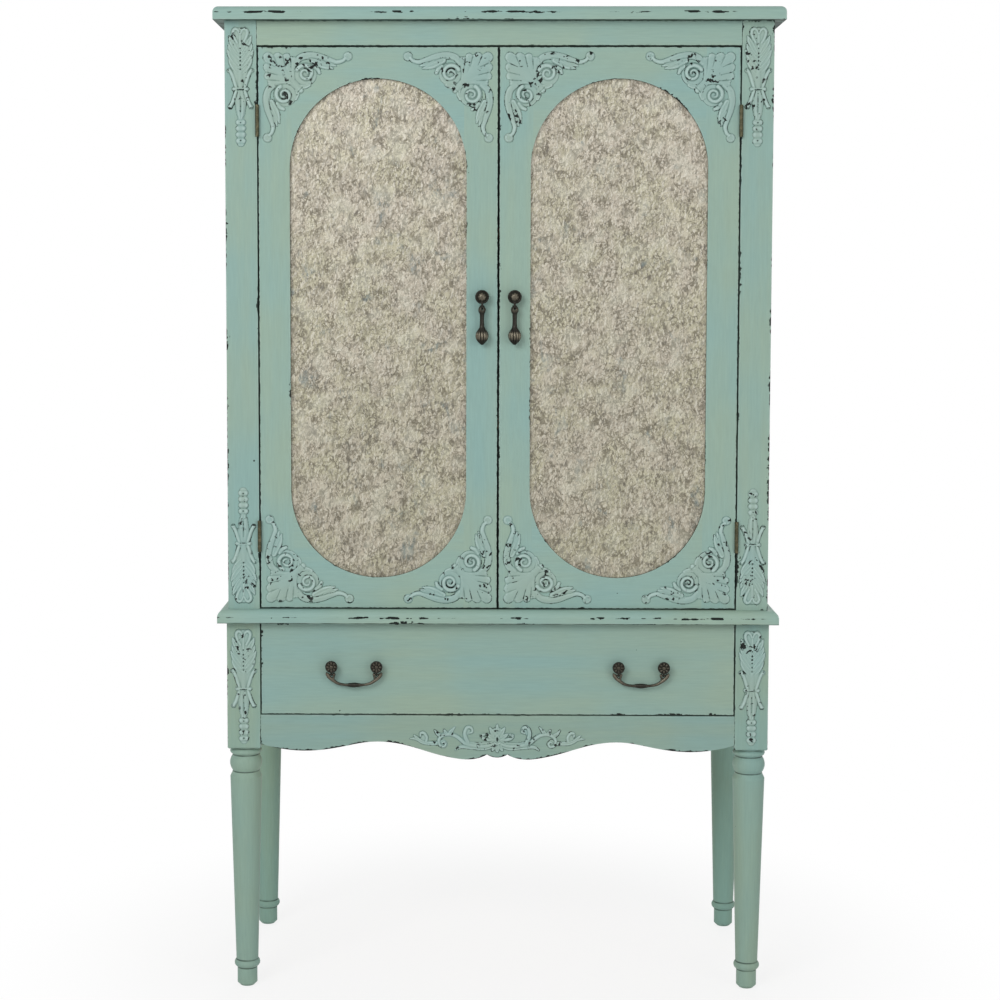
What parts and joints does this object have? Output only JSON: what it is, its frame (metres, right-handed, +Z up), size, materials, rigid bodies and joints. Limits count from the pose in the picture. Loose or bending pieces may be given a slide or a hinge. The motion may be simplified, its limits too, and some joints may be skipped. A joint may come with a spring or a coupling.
{
  "type": "pie safe",
  "caption": "Tall painted cupboard on turned legs with paired mirror doors above a full-width drawer, applied carvings and a scalloped apron.",
  "frame": {"origin": "on the floor, in the middle of the overall box", "axes": "+Z up, the front with the doors and the drawer faces -Y, +X to the viewer's right"},
  "size_m": [0.93, 0.4063, 1.638],
  "materials": {
    "painted_wood": "sage green paint, brushed on and worn at the edges",
    "painted_carving": "sage green paint with dark recesses",
    "raw_wood": "unpainted softwood",
    "antiqued_mirror": "antiqued mirror, mottled cream and grey",
    "antique_brass": "antique brass, tarnished",
    "dark_bronze": "dark antique bronze, rubbed on the high spots",
    "zinc_plate": "zinc plated",
    "catch_plastic": "matt brown"
  },
  "bodies": {
    "case": {"apron": "painted_wood", "apron_carving": "painted_carving", "back_panel": "painted_wood", "cornice_board": "painted_wood", "door_catches": "catch_plastic", "drawer_runners": "raw_wood", "frieze_rail": "painted_wood", "front_leg_left": "painted_wood", "front_leg_right": "painted_wood", "front_post_left": "painted_wood", "front_post_right": "painted_wood", "hinge_pins": "antique_brass", "lower_shelf": "raw_wood", "post_carvings": "painted_carving", "post_hinge_leaves": "antique_brass", "post_hinge_screws": "antique_brass", "rear_apron": "painted_wood", "rear_leg_left": "painted_wood", "rear_leg_right": "painted_wood", "rear_post_left": "painted_wood", "rear_post_right": "painted_wood", "shelf_pins": "zinc_plate", "side_apron_left": "painted_wood", "side_apron_right": "painted_wood", "side_panel_left": "painted_wood", "side_panel_right": "painted_wood", "upper_shelf": "raw_wood", "waist_board": "painted_wood"},
    "door_left": {"door_left_bottom_rail": "painted_wood", "door_left_carvings": "painted_carving", "door_left_hinge_leaves": "antique_brass", "door_left_hinge_screws": "antique_brass", "door_left_hinge_stile": "painted_wood", "door_left_meeting_stile": "painted_wood", "door_left_mirror": "antiqued_mirror", "door_left_mirror_strips": "raw_wood", "door_left_pull": "dark_bronze", "door_left_strike": "zinc_plate", "door_left_top_rail": "painted_wood"},
    "door_right": {"door_right_bottom_rail": "painted_wood", "door_right_carvings": "painted_carving", "door_right_hinge_leaves": "antique_brass", "door_right_hinge_screws": "antique_brass", "door_right_hinge_stile": "painted_wood", "door_right_meeting_stile": "painted_wood", "door_right_mirror": "antiqued_mirror", "door_right_mirror_strips": "raw_wood", "door_right_pull": "dark_bronze", "door_right_strike": "zinc_plate", "door_right_top_rail": "painted_wood"},
    "drop_left": {"pull_drop_left": "dark_bronze"},
    "drop_right": {"pull_drop_right": "dark_bronze"},
    "drawer": {"bail_posts": "dark_bronze", "drawer_back": "raw_wood", "drawer_bottom": "raw_wood", "drawer_front": "painted_wood", "drawer_side_left": "raw_wood", "drawer_side_right": "raw_wood"},
    "bail_left": {"bail_left": "dark_bronze"},
    "bail_right": {"bail_right": "dark_bronze"}
  },
  "joints": [
    {"name": "door_left_hinge", "type": "hinge", "parent": "case", "child": "door_left", "pos_m": [-0.395, -0.1842, 1.11225], "axis": [0, 0, -1], "range_deg": [0, 150]},
    {"name": "door_right_hinge", "type": "hinge", "parent": "case", "child": "door_right", "pos_m": [0.395, -0.1842, 1.11225], "axis": [0, 0, 1], "range_deg": [0, 150]},
    {"name": "drop_left_pivot", "type": "hinge", "parent": "door_left", "child": "drop_left", "pos_m": [-0.02675, -0.19215, 1.15175], "axis": [-1, 0, 0], "range_deg": [0, 70]},
    {"name": "drop_right_pivot", "type": "hinge", "parent": "door_right", "child": "drop_right", "pos_m": [0.02675, -0.19215, 1.15175], "axis": [-1, 0, 0], "range_deg": [0, 70]},
    {"name": "drawer_slide", "type": "slide", "parent": "case", "child": "drawer", "axis": [0, -1, 0], "range_m": [0, 0.25]},
    {"name": "bail_left_pivot", "type": "hinge", "parent": "drawer", "child": "bail_left", "pos_m": [-0.2385, -0.18985, 0.5403], "axis": [-1, 0, 0], "range_deg": [0, 90]},
    {"name": "bail_right_pivot", "type": "hinge", "parent": "drawer", "child": "bail_right", "pos_m": [0.2385, -0.18985, 0.5403], "axis": [-1, 0, 0], "range_deg": [0, 90]}
  ]
}
